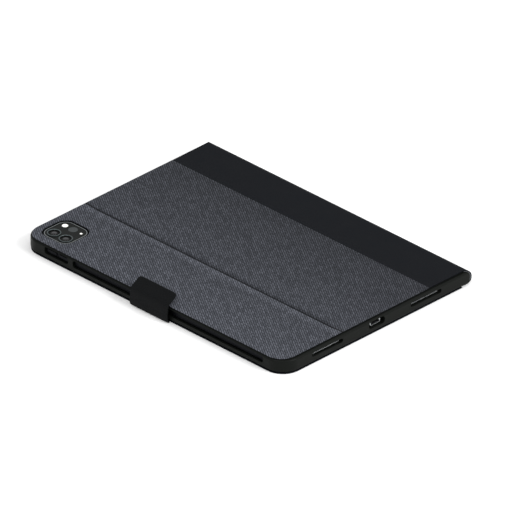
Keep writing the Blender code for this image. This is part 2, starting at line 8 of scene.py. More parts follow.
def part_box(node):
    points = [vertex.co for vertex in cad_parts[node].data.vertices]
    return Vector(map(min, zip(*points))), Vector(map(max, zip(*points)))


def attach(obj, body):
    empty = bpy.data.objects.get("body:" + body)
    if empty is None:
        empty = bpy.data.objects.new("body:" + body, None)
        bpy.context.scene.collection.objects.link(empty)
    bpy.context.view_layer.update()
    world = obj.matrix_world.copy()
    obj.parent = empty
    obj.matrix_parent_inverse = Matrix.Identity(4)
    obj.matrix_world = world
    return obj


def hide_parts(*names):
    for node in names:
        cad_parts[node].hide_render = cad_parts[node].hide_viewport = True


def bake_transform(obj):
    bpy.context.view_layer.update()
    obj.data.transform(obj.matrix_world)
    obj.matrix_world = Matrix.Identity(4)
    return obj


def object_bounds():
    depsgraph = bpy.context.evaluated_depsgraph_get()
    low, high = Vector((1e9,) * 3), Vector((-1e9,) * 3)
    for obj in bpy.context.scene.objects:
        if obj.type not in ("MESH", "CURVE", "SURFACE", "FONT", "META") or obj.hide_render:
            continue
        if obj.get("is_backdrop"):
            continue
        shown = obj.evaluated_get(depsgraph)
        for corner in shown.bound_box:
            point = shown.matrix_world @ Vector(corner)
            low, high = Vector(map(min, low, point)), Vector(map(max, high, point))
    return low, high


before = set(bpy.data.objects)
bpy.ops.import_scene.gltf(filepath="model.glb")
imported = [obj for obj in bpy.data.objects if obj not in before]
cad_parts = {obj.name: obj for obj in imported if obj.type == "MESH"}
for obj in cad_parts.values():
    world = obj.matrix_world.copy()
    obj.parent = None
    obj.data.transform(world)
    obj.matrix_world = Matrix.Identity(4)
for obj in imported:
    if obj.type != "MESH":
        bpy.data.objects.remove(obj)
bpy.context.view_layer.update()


# ---------------------------------------------------------------- front cover
# The cover that the case lies on: matt black synthetic leather, turned over a thin
# stiffening board and pressed flat, with the keyboard glued to its inner face.
MM = 0.001
skin_low, skin_high = (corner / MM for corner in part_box("front_skin"))
board_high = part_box("front_board")[1] / MM
upper_spine_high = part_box("spine_upper")[1] / MM
CASE_TOP = round(upper_spine_high.z)
SPINE_OUTER = upper_spine_high.y
COVER_BACK = skin_high.y
SPINE_RADIUS = CASE_TOP / 2
SPINE_CENTRE_Y = SPINE_OUTER - SPINE_RADIUS
COVER_JOIN_Y = SPINE_CENTRE_Y - 3
CORNER_RADIUS = 14.5


def tone(code):
    """An sRGB hex colour as linear RGBA."""
    channels = [int(code[i:i + 2], 16) / 255 for i in (0, 2, 4)]
    return (*[c / 12.92 if c <= 0.04045 else ((c + 0.055) / 1.055) ** 2.4 for c in channels], 1)


def surface(name, colour, roughness, metallic=0.0, **sockets):
    """A material whose constant values sit on its Principled shader."""
    material = bpy.data.materials.new(name)
    material.use_nodes = True
    shader = material.node_tree.nodes["Principled BSDF"]
    shader.inputs["Base Color"].default_value = tone(colour)
    shader.inputs["Roughness"].default_value = roughness
    shader.inputs["Metallic"].default_value = metallic
    for socket, value in sockets.items():
        shader.inputs[socket.replace("_", " ")].default_value = value
    return material


def add(material, kind, inputs=None, **settings):
    """Add one shader node; an input takes a value or another node's output."""
    node = material.node_tree.nodes.new("ShaderNode" + kind)
    for setting, value in settings.items():
        setattr(node, setting, value)
    for socket, value in (inputs or {}).items():
        if isinstance(value, bpy.types.NodeSocket):
            material.node_tree.links.new(value, node.inputs[socket])
        else:
            node.inputs[socket].default_value = value
    return node


def drive(material, socket, output):
    """Link a node's output to the Principled shader."""
    shader = material.node_tree.nodes["Principled BSDF"]
    material.node_tree.links.new(output, shader.inputs[socket])


def rounded(x0, y0, x1, y1, radii, steps=12):
    """A rectangle's outline with radii for (x0, y0), (x1, y0), (x1, y1), (x0, y1)."""
    if isinstance(radii, (int, float)):
        radii = (radii,) * 4
    corners = ((x0, y0, 1, 1), (x1, y0, -1, 1), (x1, y1, -1, -1), (x0, y1, 1, -1))
    points = []
    for index, ((x, y, sign_x, sign_y), radius) in enumerate(zip(corners, radii)):
        count = steps if radius > 0 else 0
        for step in range(count + 1):
            turn = math.radians(180 + 90 * index + 90 * step / max(count, 1))
            centre_x = x + sign_x * radius
            centre_y = y + sign_y * radius
            points.append((centre_x + radius * math.cos(turn), centre_y + radius * math.sin(turn)))
    return points


def centred(x, y, width, depth, radius, steps=8):
    """A rounded rectangle's outline about its middle."""
    return rounded(x - width / 2, y - depth / 2, x + width / 2, y + depth / 2, radius, steps)


def new_piece(name, mesh, material=None):
    """A mesh as an object in the scene, with its material."""
    piece = bpy.data.objects.new(name, mesh)
    bpy.context.scene.collection.objects.link(piece)
    if material:
        mesh.materials.append(material)
    return piece


def slab(name, outline, low, high, material=None, run="z"):
    """A closed outline, in millimetres, run along x, y or z between two places."""
    place = {
        "x": lambda u, v, w: (w, u, v), "y": lambda u, v, w: (u, w, v), "z": lambda u, v, w: (u, v, w),
    }[run]
    solid = bmesh.new()
    rings = []
    for level in (low, high):
        rings.append([solid.verts.new(Vector(place(u, v, level)) * MM) for u, v in outline])
    solid.faces.new(rings[0])
    solid.faces.new(rings[1])
    for index in range(len(outline)):
        after = (index + 1) % len(outline)
        solid.faces.new((rings[0][index], rings[0][after], rings[1][after], rings[1][index]))
    return new_piece(name, outward_mesh(name, solid), material)


def outward_mesh(name, solid):
    """The finished mesh of a bmesh, with its faces looking outwards."""
    bmesh.ops.recalc_face_normals(solid, faces=solid.faces)
    mesh = bpy.data.meshes.new(name)
    solid.to_mesh(mesh)
    solid.free()
    return mesh


def settle(piece):
    """Apply the piece's modifiers to its mesh."""
    depsgraph = bpy.context.evaluated_depsgraph_get()
    mesh = bpy.data.meshes.new_from_object(piece.evaluated_get(depsgraph))
    piece.modifiers.clear()
    piece.data = mesh


def combine(piece, operation, *tools):
    """Cut tools from the piece, or keep what it shares with them, and remove them."""
    for tool in tools:
        modifier = piece.modifiers.new(tool.name, "BOOLEAN")
        modifier.operation = operation
        modifier.solver = "EXACT"
        modifier.object = tool
    settle(piece)
    for tool in tools:
        bpy.data.objects.remove(tool, do_unlink=True)


def soften(piece, width=0.0, segments=3, angle=40):
    """Round the piece's edges and shade it smooth between the ones that stay sharp."""
    if width:
        modifier = piece.modifiers.new("rounded_edges", "BEVEL")
        modifier.width = width * MM
        modifier.segments = segments
        modifier.limit_method = "ANGLE"
        modifier.angle_limit = math.radians(angle)
        settle(piece)
    piece.data.shade_smooth()
    piece.data.set_sharp_from_angle(angle=math.radians(35))
    piece.modifiers.new("even_shading", "WEIGHTED_NORMAL").keep_sharp = True
    settle(piece)


def fit(piece, body, material_slot, *nodes):
    """Fix a finished piece to its body, in place of its plain nodes."""
    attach(piece, body)
    if nodes:
        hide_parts(*nodes)


def leather_material(name, colour, roughness):
    """Calendered synthetic leather: matt, with a pebble grain about 0.8 mm across."""
    material = surface(name, colour, roughness, Specular_IOR_Level=0.06)
    place = add(material, "TexCoord").outputs["Object"]
    pebbles = add(
        material, "TexVoronoi", {"Vector": place, "Scale": 1 / (0.8 * MM), "Randomness": 0.9},
        feature="DISTANCE_TO_EDGE",
    )
    raised = add(material, "MapRange", {"Value": pebbles.outputs["Distance"], "From Max": 0.22})
    mottle = add(material, "TexNoise", {"Vector": place, "Scale": 1 / (14 * MM), "Detail": 4.0})
    height = add(
        material, "Math", {0: raised.outputs[0], 1: mottle.outputs["Fac"]}, operation="ADD"
    )
    bump = add(
        material, "Bump", {"Height": height.outputs[0], "Distance": 0.05 * MM, "Strength": 0.6}
    )
    drive(material, "Normal", bump.outputs["Normal"])
    base = tone(colour)
    lighter = tuple(min(c * 1.5, 1) for c in base[:3]) + (1,)
    blend = add(
        material, "Mix", {0: mottle.outputs["Fac"], 6: base, 7: lighter}, data_type="RGBA"
    )
    drive(material, "Base Color", blend.outputs[2])
    worn = add(
        material, "MapRange",
        {"Value": mottle.outputs["Fac"], "To Min": roughness - 0.07, "To Max": roughness + 0.09},
    )
    drive(material, "Roughness", worn.outputs[0])
    return material


leather = leather_material("black_synthetic_leather", "0a0c10", 0.62)
cover_outline = rounded(
    skin_low.x, skin_low.y, skin_high.x, COVER_JOIN_Y, (CORNER_RADIUS, CORNER_RADIUS, 0, 0)
)
front_cover = slab("front_cover_leather", cover_outline, 0, board_high.z, leather)
soften(front_cover, 0.3)
fit(front_cover, "keyboard_half", "leather", "front_skin", "front_board")


# ---------------------------------------------------------------- spine and leather band
# One strip of the same leather runs from the front cover round the open edge and on to
# the back cover as a smooth band. A pale lining shows as a line inside its cut ends.
band_low, band_high = (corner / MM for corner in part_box("leather_band"))
LEATHER_THICK = 0.9
BAND_THICK = 0.42
LINING_THICK = 0.28
QUARTER = math.pi / 2
ARC_STEPS = 48
END_FLARE = 2.1
FLARE_RUN = 5.0
JOIN_GAP = 0.05
TAPER_START = 6
TAPER_END = 4


def spine_point(turn, radius):
    y = SPINE_CENTRE_Y + radius * math.cos(turn)
    return (y, SPINE_RADIUS + radius * math.sin(turn))


def spine_section(outer, inner):
    """The half-round between two radii, from the front cover to the back cover."""
    turns = [-QUARTER + math.pi * step / ARC_STEPS for step in range(ARC_STEPS + 1)]
    outside = [spine_point(turn, outer) for turn in turns]
    inside = [spine_point(turn, inner) for turn in reversed(turns)]
    return outside + inside


lining = surface("brushed_lining", "6d7074", 0.9)
lining_place = add(lining, "TexCoord").outputs["Object"]
lining_nap = add(lining, "TexNoise", {"Vector": lining_place, "Scale": 1 / (0.4 * MM)})
lining_bump = add(lining, "Bump", {"Height": lining_nap.outputs["Fac"], "Distance": 0.1 * MM})
drive(lining, "Normal", lining_bump.outputs["Normal"])

inner_radius = SPINE_RADIUS - LEATHER_THICK
inner_z = CASE_TOP - BAND_THICK
leather_outline = spine_section(SPINE_RADIUS, inner_radius)
flat_band = [
    (band_low.y, CASE_TOP), (band_low.y, inner_z), (SPINE_CENTRE_Y - TAPER_START, inner_z),
    (SPINE_CENTRE_Y - TAPER_END, CASE_TOP - LEATHER_THICK),
]
leather_outline = (
    [(COVER_JOIN_Y + JOIN_GAP, 0)] + leather_outline[:ARC_STEPS + 1] + flat_band
    + leather_outline[ARC_STEPS + 1:] + [(COVER_JOIN_Y + JOIN_GAP, LEATHER_THICK)]
)
lining_outline = spine_section(inner_radius - 0.02, inner_radius - LINING_THICK)
for name, outline, finish in (
    ("spine_and_band_leather", leather_outline, leather), ("spine_lining", lining_outline, lining),
):
    piece = slab(name, outline, band_low.x, band_high.x, finish, run="x")
    for vertex in piece.data.vertices:
        past = vertex.co.y / MM - SPINE_CENTRE_Y
        reach = END_FLARE * min(1, max(0, past / FLARE_RUN))
        vertex.co.x += math.copysign(reach, vertex.co.x) * MM
    soften(piece, 0.12, 2, 60)
    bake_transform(piece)
    if finish is leather:
        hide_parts("spine_lower", "spine_upper", "leather_band")


# ---------------------------------------------------------------- back cover
# Grey melange cloth, woven in a broken twill, is glued over two stiff boards and turned
# in at the edge. A valley is pressed into it where the boards part, so that the half
# towards the spine folds back as a stand.
cloth_low, cloth_high = (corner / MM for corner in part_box("back_cloth"))
island_low, island_high = (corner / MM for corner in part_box("camera_rim"))
stand_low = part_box("stand_board")[0] / MM
fold_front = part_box("camera_board")[1].y / MM
FOLD_Y = (stand_low.y + fold_front) / 2
COVER_CORNER = 12.5
CLOTH_THICK = 0.45
CAMERA_X = (island_low.x + island_high.x) / 2
CAMERA_Y = (island_low.y + island_high.y) / 2
WINDOW = 28.2
WINDOW_CORNER = 8.6
VALLEY_DEPTH = 0.9
VALLEY_FRONT = 6.8
VALLEY_BACK = 3.6
VALLEY_END = 7.0
TWILL_ANGLE = math.radians(34)
YARN_WOBBLE = 0.0007
# Reach and tones of the painted shade and painted highlight along the fold's crease.
CREASE_PAINT_REACH = 10
CLEAR_OF_CREASE_TONE = 0.5
PAINTED_CREASE_SHADES = ((0.22, 0.64), (0.455, 0.72), (0.48, 0.1), (0.52, 0.1), (0.55, 0.34))
# Painted light: the cloth's colour is scaled up towards the strap end and down towards the spine end.
STRAP_END_PAINTED_LIGHT = 3.9
SPINE_END_PAINTED_LIGHT = 1.85


def valley(x, y):
    """How far the cloth dips at a place: a sharp crease between two soft slopes."""
    away = y - FOLD_Y
    reach = VALLEY_BACK if away > 0 else VALLEY_FRONT
    across = max(0, 1 - abs(away) / reach)
    room = (cloth_high.x - abs(x)) / VALLEY_END
    end = min(1, max(0, room - 0.35))
    return VALLEY_DEPTH * end * (0.7 * across + 0.3 * across ** 4)


def cloth_material():
    """Melange polyester: light and dark yarns in short diagonal floats, with a soft sheen.

    Painted light makes the cloth paler towards the strap. Along the fold lie painted shade and a
    painted
    highlight: a dark line in the crease, a light band on its front side and a darker band towards the
    spine.
    """
    material = surface(
        "melange_woven_polyester", "4a4c50", 0.85, Specular_IOR_Level=0.1, Sheen_Weight=0.02
    )
    place = add(material, "TexCoord").outputs["Object"]
    wobble = add(material, "TexNoise", {"Vector": place, "Scale": 1 / (2.2 * MM), "Detail": 2.0})
    shift = add(
        material, "VectorMath", {0: wobble.outputs["Color"], 1: (YARN_WOBBLE, YARN_WOBBLE, 0)},
        operation="MULTIPLY",
    )
    moved = add(material, "VectorMath", {0: place, 1: shift.outputs[0]}, operation="ADD")
    turned = add(
        material, "Mapping", {"Vector": moved.outputs[0], "Rotation": (0, 0, TWILL_ANGLE)}
    )
    floats = add(
        material, "TexBrick",
        {
            "Vector": turned.outputs[0], "Scale": 1.0, "Brick Width": 4.4 * MM,
            "Row Height": 1.5 * MM, "Mortar Size": 0.36 * MM, "Mortar Smooth": 0.6,
            "Color1": tone("2e3035"), "Color2": tone("3f4147"), "Mortar": tone("15161a"),
        },
        offset=0.37,
    )
    drawn = add(
        material, "VectorMath", {0: turned.outputs[0], 1: (0.3, 1.0, 1.0)}, operation="MULTIPLY"
    )
    yarn = add(
        material, "TexNoise", {"Vector": drawn.outputs[0], "Scale": 1 / (1.1 * MM), "Detail": 2.0}
    )
    fleck = add(
        material, "MapRange",
        {"Value": yarn.outputs["Fac"], "From Min": 0.3, "From Max": 0.7, "To Min": 0.8,
         "To Max": 1.2},
    )
    across = add(material, "SeparateXYZ", {0: place})
    # Painted shade and highlight along the fold: dark in the crease, light on its front side, darker
    # towards the spine.
    painted_crease_shade = add(material, "ValToRGB", {0: add(
        material, "MapRange",
        {"Value": across.outputs["Y"], "From Min": (FOLD_Y - CREASE_PAINT_REACH) * MM,
         "From Max": (FOLD_Y + CREASE_PAINT_REACH) * MM},
    ).outputs[0]})
    ramp = painted_crease_shade.color_ramp
    ramp.elements[0].position = 0.1
    ramp.elements[0].color = (CLEAR_OF_CREASE_TONE, CLEAR_OF_CREASE_TONE, CLEAR_OF_CREASE_TONE, 1)
    ramp.elements[1].position = 0.7
    ramp.elements[1].color = (CLEAR_OF_CREASE_TONE, CLEAR_OF_CREASE_TONE, CLEAR_OF_CREASE_TONE, 1)
    for position, shade in PAINTED_CREASE_SHADES:
        ramp.elements.new(position).color = (shade, shade, shade, 1)
    shaded = add(
        material, "Math", {0: fleck.outputs[0], 1: painted_crease_shade.outputs[0]}, operation="MULTIPLY"
    )
    # Painted light, paler towards the strap.
    painted_light_falloff = add(
        material, "MapRange",
        {"Value": across.outputs["Y"], "From Min": cloth_low.y * MM,
         "From Max": cloth_high.y * MM, "To Min": STRAP_END_PAINTED_LIGHT,
         "To Max": SPINE_END_PAINTED_LIGHT},
    )
    doubled = add(
        material, "Math", {0: shaded.outputs[0], 1: painted_light_falloff.outputs[0]}, operation="MULTIPLY"
    )
    tinted = add(
        material, "VectorMath", {0: floats.outputs["Color"], 3: doubled.outputs[0]},
        operation="SCALE",
    )
    drive(material, "Base Color", tinted.outputs[0])
    bump = add(
        material, "Bump", {"Height": floats.outputs["Fac"], "Distance": 0.12 * MM, "Strength": 0.7},
        invert=True,
    )
    drive(material, "Normal", bump.outputs["Normal"])
    return material


def stations(low, high, coarse, near, spread, fine):
    """Places from low to high: coarse steps, and fine ones within spread of near."""
    places = {low, high}
    count = int((high - low) / coarse)
    places |= {low + (high - low) * step / count for step in range(count + 1)}
    if near is not None:
        steps = int(2 * spread / fine)
        places |= {near - spread + 2 * spread * step / steps for step in range(steps + 1)}
    return sorted(places)


def cloth_blank():
    """A closed sheet wider than the cover, whose upper face dips along the fold."""
    margin = 2.0
    xs = stations(cloth_low.x - margin, cloth_high.x + margin, 3.0, None, 0, 1)
    ys = stations(cloth_low.y - margin, cloth_high.y, 5.0, FOLD_Y, 8.0, 0.4)
    blank = bmesh.new()
    grid = {}
    for level in (0, 1):
        for i, x in enumerate(xs):
            for j, y in enumerate(ys):
                z = CASE_TOP - valley(x, y) - (0 if level else CLOTH_THICK)
                grid[level, i, j] = blank.verts.new(Vector((x, y, z)) * MM)
        for i in range(len(xs) - 1):
            for j in range(len(ys) - 1):
                blank.faces.new([
                    grid[level, i, j], grid[level, i + 1, j], grid[level, i + 1, j + 1],
                    grid[level, i, j + 1],
                ])
    rim = [(i, 0) for i in range(len(xs))]
    rim += [(len(xs) - 1, j) for j in range(1, len(ys))]
    rim += [(i, len(ys) - 1) for i in range(len(xs) - 2, -1, -1)]
    rim += [(0, j) for j in range(len(ys) - 2, 0, -1)]
    for here, there in zip(rim, rim[1:] + rim[:1]):
        blank.faces.new([grid[0, *here], grid[0, *there], grid[1, *there], grid[1, *here]])
    return outward_mesh("back_cover_cloth", blank)


woven_cloth = cloth_material()
cloth = new_piece("back_cover_cloth", cloth_blank(), woven_cloth)
cloth_outline = rounded(
    cloth_low.x, cloth_low.y, cloth_high.x, cloth_high.y, (COVER_CORNER, COVER_CORNER, 0, 0), 24
)
window_outline = centred(CAMERA_X, CAMERA_Y, WINDOW, WINDOW, WINDOW_CORNER, 14)
combine(cloth, "INTERSECT", slab("cloth_outline", cloth_outline, 0, 30))
combine(cloth, "DIFFERENCE", slab("cloth_window", window_outline, 0, 30))
soften(cloth, 0.0)
fit(cloth, "tablet_half", "woven_cloth", "back_cloth")

edge_board = leather_material("turned_edge", "0c0c0e", 0.6)
board_low_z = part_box("stand_board")[0].z / MM
board_outline = rounded(
    cloth_low.x + 0.05, cloth_low.y + 0.05, cloth_high.x - 0.05, SPINE_CENTRE_Y - 2,
    (COVER_CORNER, COVER_CORNER, 0.5, 0.5), 24,
)
board = slab("back_cover_board", board_outline, board_low_z, CASE_TOP - 0.9, edge_board)
combine(board, "DIFFERENCE", slab("board_window", window_outline, 0, 30))
soften(board, 0.15, 2, 60)
fit(board, "tablet_half", "board", "camera_board", "stand_board")
rim_outline = rounded(
    cloth_low.x, cloth_low.y, cloth_high.x, COVER_BACK - 3, (COVER_CORNER, COVER_CORNER, 0, 0), 24
)
edge_roll = slab("back_cover_turned_edge", rim_outline, CASE_TOP - 0.88, CASE_TOP - 0.47, edge_board)
combine(edge_roll, "DIFFERENCE", slab("roll_window", window_outline, 0, 30))
combine(edge_roll, "DIFFERENCE", slab(
    "roll_inside",
    rounded(cloth_low.x + 3, cloth_low.y + 3, cloth_high.x - 3, COVER_BACK - 6, 9, 8), 0, 30,
))
soften(edge_roll, 0.0)
fit(edge_roll, "tablet_half", "board")


# ---------------------------------------------------------------- tablet shell
# A satin black polycarbonate tray, injection moulded in one piece. The tablet snaps into
# it, its edge is open for ports, buttons and a stylus, and its skirt hides the keyboard.
shell_low, shell_high = (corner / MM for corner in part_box("tablet_shell"))
body_low, body_high = (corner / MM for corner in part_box("tablet_body"))
screen_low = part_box("tablet_screen")[0] / MM
deck_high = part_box("keyboard_base")[1] / MM
PORT_Z = (screen_low.z + body_high.z) / 2
TABLET_MIDDLE = (body_low.y + body_high.y) / 2
TABLET_CORNER = 11.5
FIT_GAP = 0.15
EAR_REACH = 1.2
SHELL_BACK = shell_high.y - EAR_REACH
SHOULDER = 1.6


def shell_plastic_material(name, colour, roughness):
    """Satin moulded plastic: an even spark-eroded texture about 0.25 mm across."""
    material = surface(name, colour, roughness, Specular_IOR_Level=0.06)
    place = add(material, "TexCoord").outputs["Object"]
    grain = add(material, "TexNoise", {"Vector": place, "Scale": 1 / (0.25 * MM), "Detail": 2.0})
    bump = add(
        material, "Bump", {"Height": grain.outputs["Fac"], "Distance": 0.02 * MM, "Strength": 0.5}
    )
    drive(material, "Normal", bump.outputs["Normal"])
    handled = add(material, "TexNoise", {"Vector": place, "Scale": 1 / (22 * MM), "Detail": 3.0})
    polish = add(
        material, "MapRange",
        {"Value": handled.outputs["Fac"], "To Min": roughness - 0.06, "To Max": roughness + 0.08},
    )
    drive(material, "Roughness", polish.outputs[0])
    return material


shell_plastic = shell_plastic_material("satin_black_polycarbonate", "101210", 0.4)
shell_outline = rounded(
    shell_low.x, shell_low.y, shell_high.x, shell_high.y, (CORNER_RADIUS, CORNER_RADIUS, 2.4, 2.4), 24
)
shell = slab("moulded_shell", shell_outline, shell_low.z, shell_high.z, shell_plastic)
shoulder = shell.modifiers.new("shoulder", "BEVEL")
shoulder.width = SHOULDER * MM
shoulder.segments = 8
shoulder.limit_method = "ANGLE"
shoulder.angle_limit = math.radians(60)
settle(shell)

bay = rounded(
    body_low.x - FIT_GAP, body_low.y - FIT_GAP, body_high.x + FIT_GAP, body_high.y + FIT_GAP,
    TABLET_CORNER + FIT_GAP, 12,
)
lip = 0.5
mouth = rounded(
    body_low.x + lip, body_low.y + lip, body_high.x - lip, body_high.y - lip, TABLET_CORNER - lip, 12
)
far = shell_high.y + 9
inner_x = band_high.x + 0.15
deck_gap = rounded(body_low.x, deck_high.y - 12, body_high.x, far, 0)
behind = [(SHELL_BACK, -1), (far, -1), (far, 20), (SHELL_BACK, 20)]
notch_z = screen_low.z - 0.3
notch = [
    (deck_high.y - 1.5, -1), (far, -1), (far, notch_z), (deck_high.y + 2.5, notch_z),
]
chamfer = [
    (COVER_BACK - 0.8, shell_high.z + 0.1), (far, shell_high.z + 3), (far, shell_high.z - 5),
    (SHELL_BACK + 0.1, shell_high.z - 2.5),
]
combine(
    shell, "DIFFERENCE",
    slab("bay", bay, screen_low.z - FIT_GAP, body_high.z + 0.1),
    slab("mouth", mouth, 0, screen_low.z + 1),
    slab("deck_gap", deck_gap, 0, notch_z),
    slab("behind", behind, -inner_x, inner_x, run="x"),
    slab("notch", notch, -inner_x, inner_x, run="x"),
    slab("chamfer", chamfer, -inner_x, inner_x, run="x"),
    slab("camera_window", window_outline, body_high.z - 1, 20),
)
ear_radius = inner_radius - LINING_THICK - 0.1
ear_y = SPINE_CENTRE_Y
ear_z = SPINE_RADIUS
ears = []
for name, sign in (("ear_top", 1), ("ear_bottom", -1)):
    turns = [sign * QUARTER * (1 - step / 12) for step in range(13)]
    corner = [(ear_y + ear_radius * math.cos(t), ear_z + ear_radius * math.sin(t)) for t in turns]
    edge = ear_z + sign * (ear_radius + 2)
    corner += [(far, ear_z), (far, edge), (ear_y, edge)]
    ears.append(slab(name, corner, shell_low.x - 5, shell_high.x + 5, run="x"))
combine(shell, "DIFFERENCE", *ears)

USB_SLOT = (15.5, 5.4, 2.4)
SPEAKER_SLOT = (30.0, 3.2, 1.5)
SPEAKER_Y = 48.0
POWER_SLOT_Z = (5.0, 9.2)
POWER_SLOT_MARGIN = 2.5
POWER_SLOT_CORNER = 1.8
SLOT_Z = (4.5, 9.7)
SLOT_CORNER = 1.6
side_slots = []
usb_outline = centred(TABLET_MIDDLE, PORT_Z, *USB_SLOT)
side_slots.append(slab("usb_slot", usb_outline, body_high.x - 2, shell_high.x + 2, run="x"))
for side in (-1, 1):
    for end in (-1, 1):
        outline = centred(TABLET_MIDDLE + end * SPEAKER_Y, PORT_Z, *SPEAKER_SLOT)
        near, out = sorted((side * (body_high.x - 2), side * (shell_high.x + 2)))
        side_slots.append(slab(f"speaker_slot_{side}_{end}", outline, near, out, run="x"))
power_low, power_high = (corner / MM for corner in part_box("power_button"))
power_outline = rounded(
    power_low.y - POWER_SLOT_MARGIN, POWER_SLOT_Z[0], power_high.y + POWER_SLOT_MARGIN,
    POWER_SLOT_Z[1], POWER_SLOT_CORNER,
)
side_slots.append(slab("power_slot", power_outline, shell_low.x - 2, body_low.x + 2, run="x"))
for name, ends in (("volume_slot", (-105.0, -82.0)), ("pencil_slot", (-77.5, 108.0))):
    outline = rounded(ends[0], SLOT_Z[0], ends[1], SLOT_Z[1], SLOT_CORNER)
    side_slots.append(slab(name, outline, shell_low.y - 2, body_low.y + 1, run="y"))
combine(shell, "DIFFERENCE", *side_slots)
soften(shell, 0.0)
fit(shell, "tablet_half", "shell_plastic", "tablet_shell")


# ---------------------------------------------------------------- tablet
# The tablet that the shell is moulded for: a bead-blasted, dark grey anodised aluminium
# body under a sheet of black-bordered glass, with drilled speaker grilles at both ends.
def anodised_material(name, colour, roughness):
    """Anodised aluminium, bead blasted: a fine even sparkle over a dull metal."""
    material = surface(name, colour, roughness, 1.0)
    place = add(material, "TexCoord").outputs["Object"]
    blast = add(material, "TexNoise", {"Vector": place, "Scale": 1 / (0.12 * MM), "Detail": 2.0})
    bump = add(
        material, "Bump", {"Height": blast.outputs["Fac"], "Distance": 0.01 * MM, "Strength": 0.4}
    )
    drive(material, "Normal", bump.outputs["Normal"])
    shade = add(
        material, "MapRange",
        {"Value": blast.outputs["Fac"], "To Min": roughness - 0.08, "To Max": roughness + 0.1},
    )
    drive(material, "Roughness", shade.outputs[0])
    return material


def glass_material(name, colour, roughness, coat=0.04):
    """Cover glass, black behind, with faint smears that break its shine."""
    material = surface(
        name, colour, roughness, Coat_Weight=coat, Coat_Roughness=0.03, Specular_IOR_Level=0.06
    )
    place = add(material, "TexCoord").outputs["Object"]
    smear = add(material, "TexNoise", {"Vector": place, "Scale": 1 / (30 * MM), "Detail": 5.0})
    wiped = add(
        material, "MapRange",
        {"Value": smear.outputs["Fac"], "From Min": 0.35, "From Max": 0.75,
         "To Min": roughness, "To Max": roughness + 0.16},
    )
    drive(material, "Roughness", wiped.outputs[0])
    return material


def refinish(node, material):
    """Give a node that keeps its own shape its real finish."""
    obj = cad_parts[node]
    obj.data.materials.clear()
    obj.data.materials.append(material)


anodised = anodised_material("anodised_aluminium_grey", "1b1c1f", 0.5)
bright_edge = anodised_material("chamfered_bright_aluminium", "c6c9cb", 0.3)
screen_glass = glass_material("cover_glass_black", "070809", 0.06)
for node in ("tablet_body", "volume_up", "volume_down", "power_button"):
    refinish(node, anodised)
refinish("tablet_screen", screen_glass)
refinish("usb_port", anodised)

PORT_RIM = (9.8, 3.7, 1.8)
PORT_MOUTH = (8.6, 2.6, 1.25)
PORT_REACH = 1.6
port_low, port_high = (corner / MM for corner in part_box("usb_port"))
port_y = (port_low.y + port_high.y) / 2
port_rim = slab(
    "port_rim", centred(port_y, PORT_Z, *PORT_RIM), body_high.x - 0.2, body_high.x + PORT_REACH,
    bright_edge, run="x",
)
combine(port_rim, "DIFFERENCE", slab(
    "port_mouth", centred(port_y, PORT_Z, *PORT_MOUTH), body_high.x - 2, body_high.x + 3, run="x"
))
soften(port_rim)
fit(port_rim, "tablet_half", "bright_metal")

GRILLE_HOLES = 15
GRILLE_REACH = 1.9
GRILLE_CORNER = 0.7
HOLE_INSET = 0.8
HOLE_RADIUS = 0.5
HOLE_SIDES = 12
for side, label in ((-1, "far"), (1, "near")):
    for hand in ("front", "back"):
        node = f"speaker_{label}_{hand}"
        low, high = (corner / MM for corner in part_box(node))
        bar_outline = rounded(low.y, low.z, high.y, high.z, GRILLE_CORNER)
        face_x = low.x - GRILLE_REACH if side < 0 else high.x + GRILLE_REACH
        back_x = high.x if side < 0 else low.x
        bar = slab(
            f"{node}_grille", bar_outline, min(face_x, back_x), max(face_x, back_x), bright_edge,
            run="x",
        )
        pitch = (high.y - low.y - 2 * HOLE_INSET) / (GRILLE_HOLES - 1)
        middle_z = (low.z + high.z) / 2
        drills = []
        for hole in range(GRILLE_HOLES):
            y = low.y + HOLE_INSET + hole * pitch
            turns = [math.tau * k / HOLE_SIDES for k in range(HOLE_SIDES)]
            ring = [
                (y + HOLE_RADIUS * math.cos(turn), middle_z + HOLE_RADIUS * math.sin(turn))
                for turn in turns
            ]
            drills.append(slab(f"drill_{hole}", ring, face_x - 1, face_x + 1, run="x"))
        combine(bar, "DIFFERENCE", *drills)
        soften(bar)
        fit(bar, "tablet_half", "black_mesh", node)


# ---------------------------------------------------------------- camera
# A sheet of dark glass in a polished rim stands on the tablet's back. Two lenses rise
# from it in metal rings, beside a flash, a depth sensor and a microphone hole.
polished_rim = anodised_material("polished_rim", "868a8b", 0.22)
lens_ring = anodised_material("dark_lens_ring", "4e5657", 0.3)
island_glass = glass_material("island_glass", "090c0b", 0.2)
lens_glass = glass_material("coated_lens", "06080d", 0.02, coat=0.8)
lens_barrel = shell_plastic_material("matt_black_barrel", "050505", 0.5)
diffuser = shell_plastic_material("frosted_flash_diffuser", "f4f4ee", 0.3)
sensor_window = glass_material("sensor_window", "3a3d3e", 0.3)


def turned_piece(name, x, y, profile, material, sides=64):
    """A piece turned about a vertical axis from (radius, height) points."""
    solid = bmesh.new()
    rings = []
    for radius, height in profile:
        if radius == 0:
            rings.append([solid.verts.new(Vector((x, y, height)) * MM)])
            continue
        ring = []
        for side in range(sides):
            turn = math.tau * side / sides
            ring.append(solid.verts.new(
                Vector((x + radius * math.cos(turn), y + radius * math.sin(turn), height)) * MM
            ))
        rings.append(ring)
    for below, above in zip(rings, rings[1:]):
        for side in range(sides):
            after = (side + 1) % sides
            corners = [below[side % len(below)], below[after % len(below)],
                       above[after % len(above)], above[side % len(above)]]
            face = list(dict.fromkeys(corners))
            if len(face) > 2:
                solid.faces.new(face)
    piece = new_piece(name, outward_mesh(name, solid), material)
    soften(piece)
    return piece


